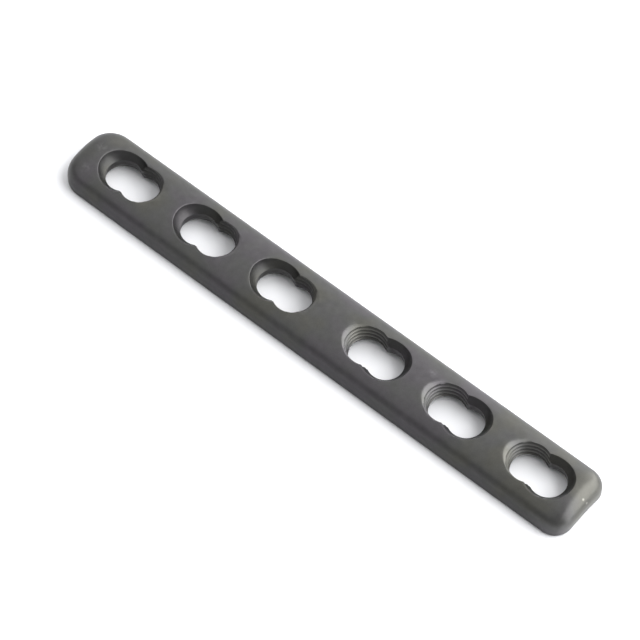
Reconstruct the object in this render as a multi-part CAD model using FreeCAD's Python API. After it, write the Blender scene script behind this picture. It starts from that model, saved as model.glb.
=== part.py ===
import FreeCAD, Part
import math
import os
from FreeCAD import Vector

# A straight narrow bone plate with six double-lobed screw holes, machined from one bar.
# X runs along the plate, Y across it and Z up, away from the bone.
# The origin is on the plane that the plate rests on, under its middle.

# Bar
plate_width = 14.3
plate_thickness = 5.1
crown_radius = 12.5
shoulder_radius = 2.7
foot_radius = 0.35

# Ends, where the top bends down over a nose with the crown's own radius; -X is the rounder end
left_corner_radius = 4.6
right_corner_radius = 3.6
nose_run = 3.9

# Underside, hollowed along its whole length to sit on a round bone
bone_radius = 18.0
land_width = 1.2

# Hole pattern, mirrored about its own middle, which lies a little nearer the +X end
holes_each_side = 3
hole_pitch = 18.0
middle_spacing = 21.4
pattern_offset = 0.9
end_margin = 10.9
plate_length = middle_spacing + 2 * (holes_each_side - 1) * hole_pitch + 2 * end_margin

# Threaded lobe of each hole, on the side of the plate's middle
thread_axis_offset = 2.2
thread_crest_radius_top = 3.85
thread_crest_radius_bottom = 3.32
thread_pitch = 0.8
thread_depth = 0.26
thread_exit_height = 1.7
thread_exit_radius = 4.1
countersink_depth = 0.6
countersink_rim_radius = 4.88

# Compression lobe of each hole, towards the end of the plate
slot_axis_offset = 1.93
slot_throat_radius = 3.35
slot_throat_height = 1.9
slot_exit_radius = 4.1
slot_seat_radius = 5.1
slot_seat_rise = 1.87

# Web between the lobes, milled flat where they meet
waist_half_width = 2.98
waist_half_length = 0.7

# How far a cutting tool runs past the face it cuts
overrun = 1.0


def arc(start, middle, end):
    return Part.Arc(start, middle, end).toShape()


def line(start, end):
    return Part.LineSegment(start, end).toShape()


def crowned_bar():
    """Bar with a crowned top that runs straight and then bends down at both ends."""
    half = plate_width / 2 + overrun
    shoulder = plate_thickness - crown_radius + math.sqrt(crown_radius**2 - half**2)
    left_foot = Vector(0, -half, -overrun)
    left_top = Vector(0, -half, shoulder)
    right_top = Vector(0, half, shoulder)
    right_foot = Vector(0, half, -overrun)
    section = Part.Face(Part.Wire([
        line(left_foot, left_top),
        arc(left_top, Vector(0, 0, plate_thickness), right_top),
        line(right_top, right_foot),
        line(right_foot, left_foot),
    ]))
    straight = plate_length / 2 - nose_run
    section.translate(Vector(-straight, 0, 0))
    middle = section.extrude(Vector(2 * straight, 0, 0))
    bend_axis = Vector(-straight, 0, plate_thickness - crown_radius)
    sweep = math.degrees(math.asin((nose_run + overrun) / (crown_radius - plate_thickness)))
    left_end = section.revolve(bend_axis, Vector(0, -1, 0), sweep)
    right_end = left_end.mirror(Vector(0, 0, 0), Vector(1, 0, 0))
    return middle.fuse([left_end, right_end]).removeSplitter()


def plan_block():
    """Upright block with the plate's outline from above, its four corners rounded."""
    block = Part.makeBox(
        plate_length, plate_width, plate_thickness + overrun,
        Vector(-plate_length / 2, -plate_width / 2, 0),
    )
    for end, radius in ((-1, left_corner_radius), (1, right_corner_radius)):
        corners = []
        for edge in block.Edges:
            box = edge.BoundBox
            if box.ZLength > plate_thickness and abs(box.Center.x - end * plate_length / 2) < 1e-6:
                corners.append(edge)
        block = block.makeFillet(radius, corners)
    return block


def side_edges(shape, at_foot):
    """Edges where the upright sides meet the underside, or meet the crowned top."""
    found = []
    for side in shape.Faces:
        u_low, u_high, v_low, v_high = side.ParameterRange
        normal = side.normalAt((u_low + u_high) / 2, (v_low + v_high) / 2)
        if abs(normal.z) > 1e-6:
            continue
        for edge in side.Edges:
            box = edge.BoundBox
            on_floor = box.ZMax < 1e-4
            upright = max(box.XLength, box.YLength) < 1e-4
            known = any(edge.isSame(other) for other in found)
            if on_floor == at_foot and not upright and not known:
                found.append(edge)
    return found


def blank():
    """Plate before its holes: crowned, round-shouldered and hollowed underneath."""
    body = crowned_bar().common(plan_block())
    body = body.makeFillet(shoulder_radius, side_edges(body, False))
    body = body.makeFillet(foot_radius, side_edges(body, True))
    reach = plate_width / 2 - land_width
    axis_height = -math.sqrt(bone_radius**2 - reach**2)
    bone = Part.makeCylinder(
        bone_radius, plate_length + 2 * overrun,
        Vector(-plate_length / 2 - overrun, 0, axis_height), Vector(1, 0, 0),
    )
    return body.cut(bone)


def turned(points, x):
    """Solid turned about an upright axis from the outline of half its section."""
    outline = Part.makePolygon([Vector(x + r, 0, z) for r, z in points + points[:1]])
    return Part.Face(outline).revolve(Vector(x, 0, 0), Vector(0, 0, 1), 360)


def seat_height():
    """Height where the thread ends under its countersink."""
    return plate_thickness - countersink_depth


def crest_radius(z):
    """Radius of the thread's crests, which taper down to the exit."""
    share = (z - thread_exit_height) / (seat_height() - thread_exit_height)
    return thread_crest_radius_bottom + share * (thread_crest_radius_top - thread_crest_radius_bottom)


def thread_rings():
    """Half section of the thread, as rings of its pitch and depth, from the exit upwards."""
    top = seat_height()
    turns = math.ceil((top - thread_exit_height) / thread_pitch)
    points = []
    for turn in range(turns):
        crest = top - (turns - turn) * thread_pitch
        root = crest + thread_pitch / 2
        points.append((crest_radius(crest), crest))
        points.append((crest_radius(root) + thread_depth, root))
    return points + [(crest_radius(top), top)]


def threaded_lobe():
    """Tapered threaded seat of a locking screw, between its countersink and its exit."""
    flare = (countersink_rim_radius - thread_crest_radius_top) / countersink_depth
    above = plate_thickness + overrun
    rings = thread_rings()
    points = [(0, rings[0][1])] + rings
    points += [(countersink_rim_radius + flare * overrun, above), (0, above)]
    exit_slope = (thread_exit_radius - thread_crest_radius_bottom) / thread_exit_height
    exit_cone = Part.makeCone(
        thread_exit_radius + exit_slope * overrun, thread_crest_radius_bottom,
        thread_exit_height + overrun, Vector(-thread_axis_offset, 0, -overrun),
    )
    return turned(points, -thread_axis_offset).fuse(exit_cone)


def compression_lobe():
    """Smooth lobe: a bowl for a round screw head over a throat that widens to the bone."""
    bowl = Part.makeSphere(
        slot_seat_radius,
        Vector(slot_axis_offset, 0, plate_thickness + slot_seat_rise),
    )
    throat = Part.makeCylinder(
        slot_throat_radius, plate_thickness,
        Vector(slot_axis_offset, 0, 0),
    )
    slope = (slot_exit_radius - slot_throat_radius) / slot_throat_height
    exit_cone = Part.makeCone(
        slot_exit_radius + slope * overrun, slot_throat_radius,
        slot_throat_height + overrun, Vector(slot_axis_offset, 0, -overrun),
    )
    return bowl.fuse([throat, exit_cone])


def screw_hole():
    """The whole hole, with its compression lobe towards +X."""
    waist = Part.makeBox(
        2 * waist_half_length, 2 * waist_half_width, plate_thickness + 2 * overrun,
        Vector(-waist_half_length, -waist_half_width, -overrun),
    )
    return threaded_lobe().fuse([compression_lobe(), waist])


def bone_plate():
    plate = blank()
    hole = screw_hole()
    mirrored = hole.mirror(Vector(0, 0, 0), Vector(1, 0, 0))
    for index in range(holes_each_side):
        x = middle_spacing / 2 + index * hole_pitch
        plate = plate.cut(hole.translated(Vector(pattern_offset + x, 0, 0)))
        plate = plate.cut(mirrored.translated(Vector(pattern_offset - x, 0, 0)))
    return plate


os.makedirs("parts", exist_ok=True)
plate = bone_plate()
plate.exportStep("parts/bone_plate.step")
print("solids", len(plate.Solids), "valid", plate.isValid(), "volume", round(plate.Volume, 1))
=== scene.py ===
import functools
import math

import bmesh
import bpy
from mathutils import Matrix, Vector


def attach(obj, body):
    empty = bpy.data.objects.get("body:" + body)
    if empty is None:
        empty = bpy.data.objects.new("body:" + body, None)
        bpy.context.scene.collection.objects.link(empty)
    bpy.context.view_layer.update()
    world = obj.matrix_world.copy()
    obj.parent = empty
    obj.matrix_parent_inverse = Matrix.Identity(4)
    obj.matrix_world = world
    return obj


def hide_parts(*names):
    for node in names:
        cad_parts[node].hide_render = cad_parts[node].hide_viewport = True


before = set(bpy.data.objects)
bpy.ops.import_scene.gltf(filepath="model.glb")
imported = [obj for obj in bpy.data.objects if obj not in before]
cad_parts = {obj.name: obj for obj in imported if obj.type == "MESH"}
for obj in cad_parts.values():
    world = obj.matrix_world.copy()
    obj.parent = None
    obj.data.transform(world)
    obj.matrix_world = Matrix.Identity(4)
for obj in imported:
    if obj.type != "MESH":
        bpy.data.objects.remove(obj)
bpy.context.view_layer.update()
scene = bpy.context.scene


# Bone plate.
# One bar of titanium alloy, milled to a crowned top over a hollowed underside, with six
# double-lobed screw holes. It is blasted, tumbled and anodised to a dark satin grey.

# Sizes are in millimetres, and MM turns them into metres.
MM = 0.001

length = 115.2
width = 14.3
thickness = 5.1
crown_radius = 12.5
shoulder_radius = 2.7
foot_radius = 0.35
end_foot_radius = 0.18
corner_radii = {-1: 4.6, 1: 3.6}
nose_run = 3.9
bone_radius = 18.0
land_width = 1.2

hole_pitch = 18.0
middle_spacing = 21.4
pattern_offset = 0.9
holes_each_side = 3

thread_x = -2.2
thread_top_radius = 3.85
thread_bottom_radius = 3.32
thread_pitch = 0.8
thread_depth = 0.26
thread_flat = 0.16
countersink_depth = 0.6
seat_height = thickness - countersink_depth
countersink_flare = 1.717
thread_exit_radius = 4.1
thread_exit_height = 1.7

slot_x = 1.93
slot_radius = 3.35
slot_exit_radius = 4.1
slot_exit_height = 1.9
bowl_radius = 5.1
bowl_centre = 6.97

waist = 2.98
waist_edge = 0.03
rim_softness = 0.1
countersink_softness = 0.32
lower_rim_softness = 0.12

# Colours of the oxide, and how much lighter or darker each place is than the tumbled top, several
# of them painted shade and painted highlight. The painted highlight on the thread's crests is
# stronger on the +X side. The thread's painted shade sets in over the height thread_fade.
olive_oxide = (0.0815, 0.0805, 0.0725, 1)
grey_oxide = (0.0785, 0.0785, 0.0770, 1)
violet_oxide = (0.0815, 0.0775, 0.0825, 1)
thread_painted_shade = -0.15
crest_painted_highlight = 1.1
bore_painted_shade = -0.38
rim_wear_and_highlight = 0.1
flank_painted_shade = -0.38
left_end_painted_shade = -0.28
right_end_painted_highlight = 0.9
nick_shade = 1.6
smudge_shade = 0.35
crest_highlight_by_side = {-1: 0.2, 1: 1.0}
foot_wear_and_highlight = 0.7
thread_fade = 0.3

# From first_level down to last_level a hole's rings are level. Vertices nearer than same_place
# are joined, and edges over crease_angle stay sharp.
first_level = 4.05
last_level = 1.1
same_place = 0.002
crease_angle = math.radians(28)

# Columns of vertices round a hole. Each lobe has ARC of them: ALONG from the waist to the
# corner of the hole's cell, ACROSS the cell's end, and ALONG back. FLAT are on each side of
# the waist, which reach the border within waist_column_x of the hole's middle, and
# HALF_CORNER on half of a rounded corner of the plate.
ALONG, ACROSS, FLAT = 22, 24, 3
HALF_CORNER = 5
ARC = 2 * ALONG + ACROSS
COLUMNS = 2 * ARC + 2 * FLAT
waist_column_x = 0.6

# Rings of vertices: on the top, on a round, from the upper rim to first_level, down the ball
# seat or thread, down to the exits, through the exits, to the lower rim, and underneath. Then,
# right round the plate, on the shoulder and on the side. The rim's wear and painted highlight
# fade out over RIM_FADE_RINGS.
TOP_RINGS, ROUND_RINGS, UPPER_RINGS = 7, 4, 10
SEAT_RINGS, THROAT_RINGS, EXIT_RINGS, LOWER_RINGS, UNDER_RINGS = 14, 19, 12, 4, 6
SHOULDER_RINGS, SIDE_RINGS, RIM_FADE_RINGS = 10, 4, 3

straight = length / 2 - nose_run
crown_centre = thickness - crown_radius
land_edge = width / 2 - land_width
hollow_centre = -math.sqrt(bone_radius**2 - land_edge**2)
spine_y = width / 2 - shoulder_radius
throat_top = bowl_centre - math.sqrt(bowl_radius**2 - slot_radius**2)


def top_height(x, y):
    """Height of the crowned top, which bends down past the straight part."""
    run = max(abs(x) - straight, 0.0)
    return crown_centre + math.sqrt(crown_radius**2 - y * y - run * run)


def hollow_height(y):
    """Height of the underside."""
    return max(0.0, hollow_centre + math.sqrt(max(bone_radius**2 - y * y, 0.0)))


def thread_groove(z, angle, hand):
    """How far the thread is cut back from its crest, with a short flat on crest and root."""
    turn = ((seat_height - z) / thread_pitch + hand * angle / (2 * math.pi)) % 1.0
    rise = (1 - abs(2 * turn - 1) - thread_flat) / (1 - 2 * thread_flat)
    return thread_depth * min(max(rise, 0.0), 1.0)


def crest_radius(z):
    """Radius of the thread's crests, which taper down to the exit."""
    share = min((z - thread_exit_height) / (seat_height - thread_exit_height), 1.0)
    return thread_bottom_radius + share * (thread_top_radius - thread_bottom_radius)


def thread_radius(z, angle, hand):
    """Radius of the threaded lobe: countersink, tapered thread and exit cone."""
    crest = crest_radius(z)
    sink = thread_top_radius + countersink_flare * (z - seat_height)
    leave = thread_bottom_radius
    leave += (thread_exit_radius - thread_bottom_radius) * (1 - z / thread_exit_height)
    return max(crest + thread_groove(z, angle, hand), sink, leave)


def smooth_radius(z):
    """Radius of the compression lobe: ball seat, throat and exit cone."""
    drop = bowl_centre - z
    bowl = math.sqrt(bowl_radius**2 - drop * drop) if drop < bowl_radius else 0.0
    leave = slot_radius + (slot_exit_radius - slot_radius) * (1 - z / slot_exit_height)
    return max(bowl, slot_radius, leave)


@functools.lru_cache(maxsize=None)
def waist_corners(z, side, hand):
    """Where the threaded lobe and the smooth lobe end, on the side of the hole given by side."""
    # The thread's radius depends on the angle where it ends, so that is found in a few rounds.
    smooth = smooth_radius(z)
    angle = side * math.radians(60)
    for _ in range(4):
        threaded = thread_radius(z, angle, hand)
        meet = (threaded**2 - smooth**2 + slot_x**2 - thread_x**2) / (2 * (slot_x - thread_x))
        height = math.sqrt(threaded**2 - (meet - thread_x) ** 2)
        if height < waist:
            thread_end = thread_x + math.sqrt(threaded**2 - waist**2)
            smooth_end = slot_x - math.sqrt(smooth**2 - waist**2)
        else:
            thread_end, smooth_end = meet - waist_edge, meet + waist_edge
        thread_y = math.sqrt(threaded**2 - (thread_end - thread_x) ** 2)
        angle = math.atan2(side * thread_y, thread_end - thread_x)
    smooth_y = math.sqrt(smooth**2 - (smooth_end - slot_x) ** 2)
    return (thread_end, side * thread_y), (smooth_end, side * smooth_y)


def wall_point(column, z, hand):
    """Place on the hole's wall of one of its columns of vertices, at a height."""
    if column <= ARC or column > COLUMNS - FLAT:
        upper = waist_corners(z, 1, hand)
    if column <= ARC or ARC < column < ARC + FLAT:
        lower = waist_corners(z, -1, hand)
    if column <= ARC:
        start = math.atan2(upper[0][1], upper[0][0] - thread_x)
        end = 2 * math.pi + math.atan2(lower[0][1], lower[0][0] - thread_x)
        angle = start + (end - start) * column / ARC
        radius = thread_radius(z, angle, hand)
        return thread_x + radius * math.cos(angle), radius * math.sin(angle)
    if column < ARC + FLAT:
        share = (column - ARC) / FLAT
        a, b = lower
        return a[0] + share * (b[0] - a[0]), a[1] + share * (b[1] - a[1])
    if column <= 2 * ARC + FLAT:
        end = waist_corners(z, 1, hand)[1]
        angle = math.atan2(end[1], end[0] - slot_x)
        start = waist_corners(z, -1, hand)[1]
        low = math.atan2(start[1], start[0] - slot_x)
        turn = low + (angle - low) * (column - ARC - FLAT) / ARC
        radius = smooth_radius(z)
        return slot_x + radius * math.cos(turn), radius * math.sin(turn)
    share = (column - 2 * ARC - FLAT) / FLAT
    b, a = upper
    return a[0] + share * (b[0] - a[0]), a[1] + share * (b[1] - a[1])


def spine_end(end):
    """Centres and outward directions of the shoulder's rolling ball round one end of the plate."""
    radius = corner_radii[end] - shoulder_radius
    x = length / 2 - corner_radii[end]
    y = width / 2 - corner_radii[end]
    found = []
    for i in range(2 * HALF_CORNER + 1):
        turn = math.radians(90 * i / (2 * HALF_CORNER))
        found.append((x + radius * math.sin(turn), y + radius * math.cos(turn),
                      math.sin(turn), math.cos(turn)))
    flat = ACROSS - 2 * HALF_CORNER
    for i in range(1, flat):
        found.append((x + radius, y - 2 * y * i / flat, 1.0, 0.0))
    for cx, cy, nx, ny in found[2 * HALF_CORNER::-1]:
        found.append((cx, -cy, nx, -ny))
    return [(end * cx, cy, end * nx, ny) for cx, cy, nx, ny in found]


def shoulder_point(spine, share):
    """Place on the rolled shoulder, from the crowned top at 0 to the side at 1."""
    cx, cy, nx, ny = spine
    run = math.copysign(max(abs(cx) - straight, 0.0), cx)
    inner = crown_radius - shoulder_radius
    rise = math.sqrt(inner**2 - cy * cy - run * run)
    top = Vector((run, cy, rise)).normalized()
    out = Vector((nx, ny, 0.0))
    way = top.slerp(out, share) if 0 < share < 1 else (top if share <= 0 else out)
    return Vector((cx, cy, crown_centre + rise)) + shoulder_radius * way


def side_point(spine, inset, height):
    """Place below the shoulder, in from the upright side by inset."""
    cx, cy, nx, ny = spine
    reach = shoulder_radius - inset
    return Vector((cx + reach * nx, cy + reach * ny, height))


def foot_size(spine):
    """Radius of the lower edge: full on the lands, small where the hollow opens at the ends."""
    rise = hollow_height(side_point(spine, foot_radius, 0).y)
    return foot_radius - (foot_radius - end_foot_radius) * min(rise / foot_radius, 1.0)


def foot_point(spine, share):
    """Place on the rounded lower edge, from the side at 0 to the underside at 1."""
    size = foot_size(spine)
    base = side_point(spine, size, 0)
    turn = math.radians(90 * share)
    base.z = hollow_height(base.y) + size * (1 - math.sin(turn))
    out = Vector((spine[2], spine[3], 0.0))
    return base + out * size * math.cos(turn)


def land_point(spine):
    """Place on the inner edge of the lands, or a little way in from the ends."""
    place = side_point(spine, land_width, 0)
    place.z = hollow_height(place.y)
    return place


shoulder_top_y = shoulder_point((0.0, spine_y, 0.0, 1.0), 0).y


def border_entry(x, share):
    """Border of a hole's cell at a place along the plate: (top, bottom, spine or None).

    share runs from -1 on one long side of the plate to 1 on the other.
    """
    if abs(share) == 1:
        spine = (x, share * spine_y, 0.0, float(share))
        return shoulder_point(spine, 0), land_point(spine), spine
    y, low = shoulder_top_y * share, land_edge * share
    return Vector((x, y, top_height(x, y))), Vector((x, low, hollow_height(low))), None


def spread(start, stop, steps):
    """Evenly spaced values from start on, which end one step short of stop."""
    return [start + (stop - start) * i / steps for i in range(steps)]


def cell_border(index, side):
    """Outer border of a hole's cell, one entry for each column of the hole's wall."""
    reach = hole_pitch / 2
    inner = middle_spacing / 2 if index == 0 else reach
    centre = middle_spacing / 2 + index * hole_pitch
    nearer = [(x, 1) for x in spread(-waist_column_x, -inner, ALONG)]
    nearer += [(-inner, share) for share in spread(1, -1, ACROSS)]
    nearer += [(x, -1) for x in spread(-inner, -waist_column_x, ALONG)]
    nearer += [(x, -1) for x in spread(-waist_column_x, waist_column_x, FLAT)]
    farther, end = [(x, 1) for x in spread(waist_column_x, -waist_column_x, FLAT)], []
    if index == holes_each_side - 1:
        end = [(shoulder_point(spine, 0), land_point(spine), spine)
               for spine in reversed(spine_end(side))]
        corner = abs(end[0][2][0]) - side * pattern_offset - centre
        steps = ALONG - HALF_CORNER
        nearer += [(x, -1) for x in spread(waist_column_x, corner, steps)]
        farther = [(x, 1) for x in spread(corner, waist_column_x, steps)[1:]] + farther
    else:
        nearer += [(x, -1) for x in spread(waist_column_x, reach, ALONG)]
        nearer += [(reach, share) for share in spread(-1, 1, ACROSS)]
        farther = [(x, 1) for x in spread(reach, waist_column_x, ALONG)] + farther
    first, last = (
        [border_entry(pattern_offset + side * (centre + x), share) for x, share in track]
        for track in (nearer, farther))
    return first + end + last


def hole_point(column, z, centre, side):
    """Place on a hole's wall in the plate's frame."""
    x, y = wall_point(column, z, side)
    return Vector((centre + side * x, y, z))


def rim_height(column, centre, side):
    """Height where a column of the wall meets the crowned top, found in a few rounds."""
    z = thickness - 0.4
    for _ in range(14):
        at = hole_point(column, z, centre, side)
        z = top_height(at.x, at.y)
    return z


def lower_rim_height(column, centre, side):
    """Height where a column of the wall meets the hollow underside, found in a few rounds."""
    z = 0.8
    for _ in range(10):
        z = hollow_height(hole_point(column, z, centre, side).y)
    return z


def axis_of(column):
    """Place along the plate of the axis that a column of the wall stands round."""
    if column <= ARC:
        return thread_x
    return slot_x if ARC + FLAT <= column <= 2 * ARC + FLAT else 0.0


def softness_of(column, height):
    """Radius of the rim's round, larger where the top stands well above the threaded seat."""
    sunk = min(max((height - seat_height) / countersink_depth, 0.0), 1.0) if column < ARC else 0.0
    return rim_softness + (countersink_softness - rim_softness) * sunk


def on_top(place):
    return Vector((place.x, place.y, top_height(place.x, place.y)))


def underneath(place):
    return Vector((place.x, place.y, hollow_height(place.y)))


def rounded_rim(before, corner, after, share):
    """Place on the small round between two faces."""
    return before * (1 - share) ** 2 + corner * 2 * share * (1 - share) + after * share * share


def start_ring(bm, places):
    """A closed ring of vertices and edges."""
    ring = [bm.verts.new(place * MM) for place in places]
    for a, b in zip(ring, ring[1:] + ring[:1]):
        bm.edges.new((a, b))
    return ring


def grow_ring(bm, ring, places):
    """Extrudes a closed ring to new places and returns the new ring."""
    edges = [bm.edges.get(pair) for pair in zip(ring, ring[1:] + ring[:1])]
    made = bmesh.ops.extrude_edge_only(bm, edges=edges)["geom"]
    fresh = {item for item in made if isinstance(item, bmesh.types.BMVert)}
    grown = []
    for old, place in zip(ring, places):
        new = next(e.other_vert(old) for e in old.link_edges if e.other_vert(old) in fresh)
        new.co = place * MM
        grown.append(new)
    return grown


def paint_ring(ring, wall, rim, centre, side):
    """Marks how far each vertex of a ring belongs to a hole's walls, its crests and its rim."""
    for column, vertex in enumerate(ring):
        x, y, z = vertex.co / MM
        depth = min(max((seat_height - z) / thread_fade + 0.5, 0.0), 1.0)
        threaded_side = axis_of(column) == thread_x
        on_thread = threaded_side and thread_exit_height < z < seat_height
        groove = math.hypot(side * (x - centre) - thread_x, y) - crest_radius(z)
        # Painted highlight on the thread's crests, stronger on the +X side.
        crest = crest_highlight_by_side[side] * min(max(1 - 2 * groove / thread_depth, 0.0), 1.0)
        vertex[thread_share] = wall * depth if threaded_side else 0.0
        vertex[crest_highlight_share] = crest if on_thread else 0.0
        vertex[bore_share] = 0.0 if threaded_side else wall
        vertex[rim_share] = rim


bm = bmesh.new()
thread_share = bm.verts.layers.float.new("thread")
crest_highlight_share = bm.verts.layers.float.new("crest")
bore_share = bm.verts.layers.float.new("bore")
rim_share = bm.verts.layers.float.new("rim")
wall_heights = (spread(first_level, throat_top, SEAT_RINGS)
                + spread(throat_top, slot_exit_height, THROAT_RINGS)
                + spread(slot_exit_height, last_level, EXIT_RINGS) + [last_level])
columns = range(COLUMNS)
threaded = set()
outer_spines = {}
for side in (-1, 1):
    for index in range(holes_each_side):
        border = cell_border(index, side)
        for top, _, spine in border:
            if spine:
                outer_spines[round(top.x, 4), round(top.y, 4)] = spine
        centre = pattern_offset + side * (middle_spacing / 2 + index * hole_pitch)
        rims = [rim_height(c, centre, side) for c in columns]
        feet = [lower_rim_height(c, centre, side) for c in columns]
        rim = [hole_point(c, rims[c], centre, side) for c in columns]
        foot = [hole_point(c, feet[c], centre, side) for c in columns]
        outward = [Vector((rim[c].x - centre - side * axis_of(c), rim[c].y, 0)).normalized()
                   for c in columns]

        # The top, from the cell's border to the rim.
        near = [on_top(rim[c] + outward[c] * softness_of(c, rims[c])) for c in columns]
        ring = start_ring(bm, [entry[0] for entry in border])
        for step in range(1, TOP_RINGS):
            ring = grow_ring(bm, ring, [
                on_top(border[c][0].lerp(near[c], step / TOP_RINGS)) for c in columns])
        below = [hole_point(c, rims[c] - softness_of(c, rims[c]), centre, side) for c in columns]
        for step in range(ROUND_RINGS + 1):
            share = step / ROUND_RINGS
            ring = grow_ring(bm, ring, [
                rounded_rim(near[c], rim[c], below[c], share) for c in columns])
            paint_ring(ring, share, 1.0, centre, side)

        # The walls, down past the thread, the bowl and the throat.
        for step in range(1, UPPER_RINGS):
            share = step / UPPER_RINGS
            ring = grow_ring(bm, ring, [
                hole_point(c, below[c].z + (first_level - below[c].z) * share, centre, side)
                for c in columns])
            paint_ring(ring, 1.0, max(1 - step / RIM_FADE_RINGS, 0.0), centre, side)
            threaded.update(ring[1:ARC])
        for z in wall_heights:
            ring = grow_ring(bm, ring, [hole_point(c, z, centre, side) for c in columns])
            paint_ring(ring, 1.0, 0.0, centre, side)
            threaded.update(ring[1:ARC])
            if z == throat_top:
                for c in range(ARC + FLAT, 2 * ARC + FLAT):
                    bm.edges.get((ring[c], ring[c + 1])).smooth = False
        above = [hole_point(c, feet[c] + lower_rim_softness, centre, side) for c in columns]
        for step in range(1, LOWER_RINGS + 1):
            share = step / LOWER_RINGS
            ring = grow_ring(bm, ring, [
                hole_point(c, last_level + (above[c].z - last_level) * share, centre, side)
                for c in columns])
            paint_ring(ring, 1.0, 0.0, centre, side)

        # The lower rim and the underside, out to the cell's border.
        around = [underneath(foot[c] + outward[c] * lower_rim_softness) for c in columns]
        for step in range(1, ROUND_RINGS):
            share = step / (ROUND_RINGS - 1)
            ring = grow_ring(bm, ring, [
                rounded_rim(above[c], foot[c], around[c], share) for c in columns])
            paint_ring(ring, 0.0, 1.0, centre, side)
        for step in range(1, UNDER_RINGS):
            ring = grow_ring(bm, ring, [
                underneath(around[c].lerp(border[c][1], step / UNDER_RINGS)) for c in columns])
            paint_ring(ring, 0.0, 0.0, centre, side)
        ring = grow_ring(bm, ring, [entry[1] for entry in border])
        paint_ring(ring, 0.0, 0.0, centre, side)

# The shoulder, the upright side, the lower edge and the lands, right round the plate.
spines = sorted(outer_spines.values(), key=lambda s: math.atan2(
    shoulder_point(s, 0).y, shoulder_point(s, 0).x))
ring = start_ring(bm, [shoulder_point(s, 0) for s in spines])
for step in range(1, SHOULDER_RINGS + 1):
    ring = grow_ring(bm, ring, [shoulder_point(s, step / SHOULDER_RINGS) for s in spines])
sides = [(shoulder_point(s, 1), foot_point(s, 0)) for s in spines]
for step in range(1, SIDE_RINGS):
    ring = grow_ring(bm, ring, [top.lerp(foot, step / SIDE_RINGS) for top, foot in sides])
# The lower edge is marked for the rims' wear and painted highlight.
for step in range(ROUND_RINGS + 1):
    ring = grow_ring(bm, ring, [foot_point(s, step / ROUND_RINGS) for s in spines])
    for vertex in ring:
        vertex[rim_share] = foot_wear_and_highlight
ring = grow_ring(bm, ring, [land_point(s) for s in spines])
for vertex in ring:
    vertex[rim_share] = 0.0

bmesh.ops.remove_doubles(bm, verts=bm.verts, dist=same_place * MM)
bmesh.ops.recalc_face_normals(bm, faces=bm.faces)
open_edges = [edge for edge in bm.edges if len(edge.link_faces) != 2]
print("plate edges that aren't closed:", len(open_edges), "faces:", len(bm.faces))
for face in bm.faces:
    face.smooth = True
for edge in bm.edges:
    if edge.calc_face_angle(0.0) > crease_angle and not threaded.intersection(edge.verts):
        edge.smooth = False
plate_mesh = bpy.data.meshes.new("plate")
bm.to_mesh(plate_mesh)
bm.free()
plate = bpy.data.objects.new("plate", plate_mesh)
scene.collection.objects.link(plate)

plate_metal = bpy.data.materials.new("plate_metal")
plate_metal.use_nodes = True
nodes, links = plate_metal.node_tree.nodes, plate_metal.node_tree.links
metal = nodes["Principled BSDF"]
metal.inputs["Metallic"].default_value = 0.9


def noise(scale, detail):
    """A noise whose cells measure about one millimetre divided by scale."""
    node = nodes.new("ShaderNodeTexNoise")
    node.inputs["Scale"].default_value = scale
    node.inputs["Detail"].default_value = detail
    links.new(in_mm.outputs["Vector"], node.inputs["Vector"])
    return node.outputs["Fac"]


def between(value, low, high, to_low, to_high):
    """Maps a value from one range to another."""
    node = nodes.new("ShaderNodeMapRange")
    links.new(value, node.inputs["Value"])
    node.inputs["From Min"].default_value = low
    node.inputs["From Max"].default_value = high
    node.inputs["To Min"].default_value = to_low
    node.inputs["To Max"].default_value = to_high
    return node.outputs["Result"]


def calculate(operation, *terms):
    """A sum, product and so on of sockets and numbers."""
    node = nodes.new("ShaderNodeMath")
    node.operation = operation
    for socket, term in zip(node.inputs, terms):
        if isinstance(term, (int, float)):
            socket.default_value = term
        else:
            links.new(term, socket)
    return node.outputs["Value"]


def share_of(name):
    """One of the shares that the rings of vertices are marked with."""
    node = nodes.new("ShaderNodeAttribute")
    node.attribute_name = name
    return node.outputs["Fac"]


def spot(x, y, z, radius):
    """One within a soft round spot on the plate, zero outside it."""
    reach = nodes.new("ShaderNodeVectorMath")
    reach.operation = "DISTANCE"
    links.new(in_mm.outputs["Vector"], reach.inputs[0])
    reach.inputs[1].default_value = (x, y, z)
    return between(reach.outputs["Value"], 0.25 * radius, radius, 1.0, 0.0)


place = nodes.new("ShaderNodeTexCoord")
in_mm = nodes.new("ShaderNodeMapping")
in_mm.inputs["Scale"].default_value = (1000, 1000, 1000)
links.new(place.outputs["Object"], in_mm.inputs["Vector"])

# Oxide tints that drift between olive and violet grey, a faint mottle and the blasted grain.
tint = nodes.new("ShaderNodeValToRGB")
tint.color_ramp.elements[0].position = 0.38
tint.color_ramp.elements[0].color = olive_oxide
tint.color_ramp.elements[1].position = 0.62
tint.color_ramp.elements[1].color = violet_oxide
grey = tint.color_ramp.elements.new(0.5)
grey.color = grey_oxide
links.new(noise(0.11, 2), tint.inputs["Fac"])
mottle = noise(0.8, 3)
grain = noise(5.5, 2)
level = calculate("MULTIPLY",
                  between(mottle, 0.3, 0.7, 0.93, 1.07),
                  between(grain, 0.3, 0.7, 0.95, 1.05))

# Painted shade makes the thread a little darker and the smooth lobes' walls darker still, a
# painted highlight lights the thread's crests, and the rims are rubbed a little lighter, partly as
# a painted highlight.
thread, bore, rim = share_of("thread"), share_of("bore"), share_of("rim")
crest = share_of("crest")
# Painted shade over the thread, and a painted highlight on its crests.
tone_and_painted_light = calculate("MULTIPLY_ADD", thread, thread_painted_shade, 1.0)
tone_and_painted_light = calculate("MULTIPLY_ADD", crest, crest_painted_highlight, tone_and_painted_light)
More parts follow.
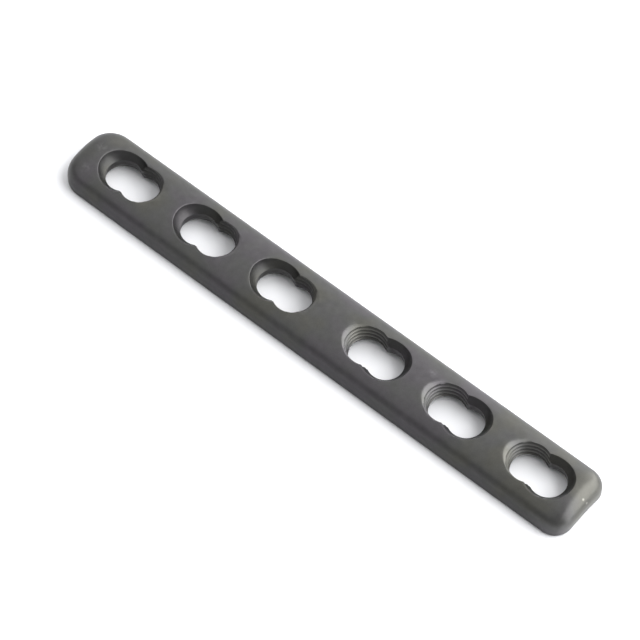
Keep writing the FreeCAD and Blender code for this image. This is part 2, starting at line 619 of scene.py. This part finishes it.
# Painted shade on the walls of the smooth lobes.
tone_and_painted_light = calculate("MULTIPLY_ADD", bore, bore_painted_shade, tone_and_painted_light)
# Rims rubbed lighter: partly wear, partly a painted highlight on edges that catch the light.
rubbed_and_highlit = calculate("MULTIPLY", rim, between(mottle, 0.35, 0.65, 0.0, rim_wear_and_highlight))
tone_and_painted_light = calculate("ADD", tone_and_painted_light, rubbed_and_highlit)

# Painted shade: the long sides below the shoulder are darker than the top, except near the +X end.
where = nodes.new("ShaderNodeSeparateXYZ")
links.new(in_mm.outputs["Vector"], where.inputs["Vector"])
flank = calculate("MULTIPLY",
                  between(where.outputs["Z"], 4.1, 2.2, 0.0, 1.0),
                  between(calculate("ABSOLUTE", where.outputs["Y"]), 6.0, 6.9, 0.0, 1.0))
flank = calculate("MULTIPLY", flank, between(where.outputs["X"], 50.0, 56.0, 1.0, 0.0))
tone_and_painted_light = calculate("MULTIPLY_ADD", flank, flank_painted_shade, tone_and_painted_light)

# Painted shade makes the -X end darker, and a painted highlight lightens the face and lower edge
# of the +X end.
tone_and_painted_light = calculate("ADD", tone_and_painted_light, between(where.outputs["X"], -57.0, -53.5, left_end_painted_shade, 0.0))
end_painted_highlight = calculate("MULTIPLY",
                     between(where.outputs["X"], 56.3, 57.5, 0.0, right_end_painted_highlight),
                     between(where.outputs["Z"], 2.0, 4.2, 1.0, 0.0))
tone_and_painted_light = calculate("ADD", tone_and_painted_light, end_painted_highlight)

# Handling marks: two bright nicks on the +X nose, and pale, dull smudges elsewhere.
nicks = calculate("MAXIMUM", spot(56.73, 0.33, 4.3, 0.3), spot(57.35, 0.59, 3.42, 0.3))
smudges = calculate("MAXIMUM", spot(-53.5, -3.8, 4.5, 1.1), spot(-54.1, 1.1, 5.0, 1.3))
smudges = calculate("MAXIMUM", smudges, spot(21.7, 3.1, 4.7, 1.2))
smudges = calculate("MULTIPLY", smudges, between(noise(1.6, 2), 0.35, 0.65, 0.0, 1.0))
marks = calculate("MULTIPLY", smudges, smudge_shade)
marks = calculate("MULTIPLY_ADD", nicks, nick_shade, marks)
tone_and_painted_light = calculate("ADD", tone_and_painted_light, marks)

# The colour is the oxide tint scaled by its tone, its marks, and painted shade and highlight.
colour = nodes.new("ShaderNodeVectorMath")
colour.operation = "SCALE"
links.new(tint.outputs["Color"], colour.inputs[0])
links.new(calculate("MULTIPLY", level, tone_and_painted_light), colour.inputs["Scale"])
links.new(colour.outputs["Vector"], metal.inputs["Base Color"])

gloss = calculate("MULTIPLY_ADD", thread, 0.03, between(mottle, 0.3, 0.7, 0.36, 0.42))
gloss = calculate("MULTIPLY_ADD", smudges, 0.08, gloss)
links.new(gloss, metal.inputs["Roughness"])

# Fine relief: blasted grain all over, and turned rings in the smooth lobes.
rings = nodes.new("ShaderNodeTexWave")
rings.bands_direction = "Z"
rings.inputs["Scale"].default_value = 1.3
rings.inputs["Distortion"].default_value = 0.6
links.new(in_mm.outputs["Vector"], rings.inputs["Vector"])
relief = calculate("MULTIPLY_ADD", calculate("MULTIPLY", bore, rings.outputs["Fac"]), 0.5, grain)
bump = nodes.new("ShaderNodeBump")
bump.inputs["Strength"].default_value = 0.25
bump.inputs["Distance"].default_value = 0.00001
links.new(relief, bump.inputs["Height"])
links.new(bump.outputs["Normal"], metal.inputs["Normal"])
plate.data.materials.append(plate_metal)

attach(plate, "root")
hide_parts("bone_plate")


# Floor.
# A matte white table that keeps the plate's soft shadow and shows white to the camera.

floor_mesh = bpy.data.meshes.new("floor")
bm = bmesh.new()
bmesh.ops.create_grid(bm, x_segments=1, y_segments=1, size=3.0)
bm.to_mesh(floor_mesh)
bm.free()
floor = bpy.data.objects.new("floor", floor_mesh)
scene.collection.objects.link(floor)
floor_white = bpy.data.materials.new("floor_white")
floor_white.use_nodes = True
nodes, links = floor_white.node_tree.nodes, floor_white.node_tree.links
paint = nodes["Principled BSDF"]
paint.inputs["Base Color"].default_value = (0.815, 0.82, 0.84, 1)
paint.inputs["Roughness"].default_value = 1.0
paint.inputs["Specular IOR Level"].default_value = 0.0
floor.data.materials.append(floor_white)


# Light.
# A broad soft panel overhead and behind, a smaller, stronger one on the right, and a small
# low one behind for the far edge, in a dim pale room that leaves the near left side dark.

world = bpy.data.worlds.new("room")
scene.world = world
world.use_nodes = True
nodes, links = world.node_tree.nodes, world.node_tree.links
room = nodes["Background"]
room.inputs["Color"].default_value = (1, 1, 1, 1)
room.inputs["Strength"].default_value = 0.45
white = nodes.new("ShaderNodeBackground")
white.inputs["Color"].default_value = (1, 1, 1, 1)
white.inputs["Strength"].default_value = 1.0
# The camera sees the white background everywhere, and the metal sees it along the horizon.
ray = nodes.new("ShaderNodeLightPath")
direction = nodes.new("ShaderNodeTexCoord")
above = nodes.new("ShaderNodeSeparateXYZ")
links.new(direction.outputs["Generated"], above.inputs["Vector"])
horizon = between(above.outputs["Z"], 0.15, 0.45, 1.0, 0.0)
mirrored = calculate("MAXIMUM", ray.outputs["Is Glossy Ray"], ray.outputs["Is Transmission Ray"])
seen = calculate("MAXIMUM", ray.outputs["Is Camera Ray"], calculate("MULTIPLY", mirrored, horizon))
choose = nodes.new("ShaderNodeMixShader")
links.new(seen, choose.inputs["Fac"])
links.new(room.outputs[0], choose.inputs[1])
links.new(white.outputs[0], choose.inputs[2])
links.new(choose.outputs[0], nodes["World Output"].inputs["Surface"])

view_turn = Matrix.Rotation(math.radians(40.0), 3, "Z")


def soft_panel(name, across, away, above, size, power):
    """A square soft light that faces the plate, placed as seen from the camera."""
    light = bpy.data.lights.new(name, "AREA")
    light.shape = "SQUARE"
    light.size = size
    light.energy = power
    lamp = bpy.data.objects.new(name, light)
    place = view_turn @ Vector((across, away, above))
    lamp.location = place
    lamp.rotation_euler = place.to_track_quat("Z", "Y").to_euler()
    scene.collection.objects.link(lamp)


soft_panel("panel_back", 0.03, 0.56, 0.7, 2.4, 15.5)
soft_panel("panel_low", 0.62, 0.62, 0.19, 0.4, 2.4)
soft_panel("panel_right", 0.75, -0.04, 0.46, 1.25, 22.5)


# Camera.
# It looks down on the plate from the front right, on the -Y and +X side, 0.6 m away.

camera_tilt = math.radians(57.852)
camera_turn = math.radians(40.303)
camera_distance = 600.87
camera_focus = 5.683
camera_shift_right = -1.076
camera_shift_up = 1.826
frame_width = 640
sensor_width = 36
back = Vector((0, -math.cos(camera_tilt), math.sin(camera_tilt)))
right = Vector((1, 0, 0))
up = back.cross(right)
eye = camera_distance * back + camera_shift_right * right + camera_shift_up * up
turn = Matrix.Rotation(camera_turn, 3, "Z")
axes = Matrix((turn @ right, turn @ up, turn @ back)).transposed().to_4x4()
camera = bpy.data.cameras.new("camera")
camera.sensor_width = sensor_width
camera.lens = sensor_width * camera_focus * camera_distance / frame_width
camera.clip_start = 0.01
camera_object = bpy.data.objects.new("camera", camera)
camera_object.matrix_world = Matrix.Translation(turn @ eye * MM) @ axes
scene.collection.objects.link(camera_object)
scene.camera = camera_object
scene.view_settings.view_transform = "Standard"
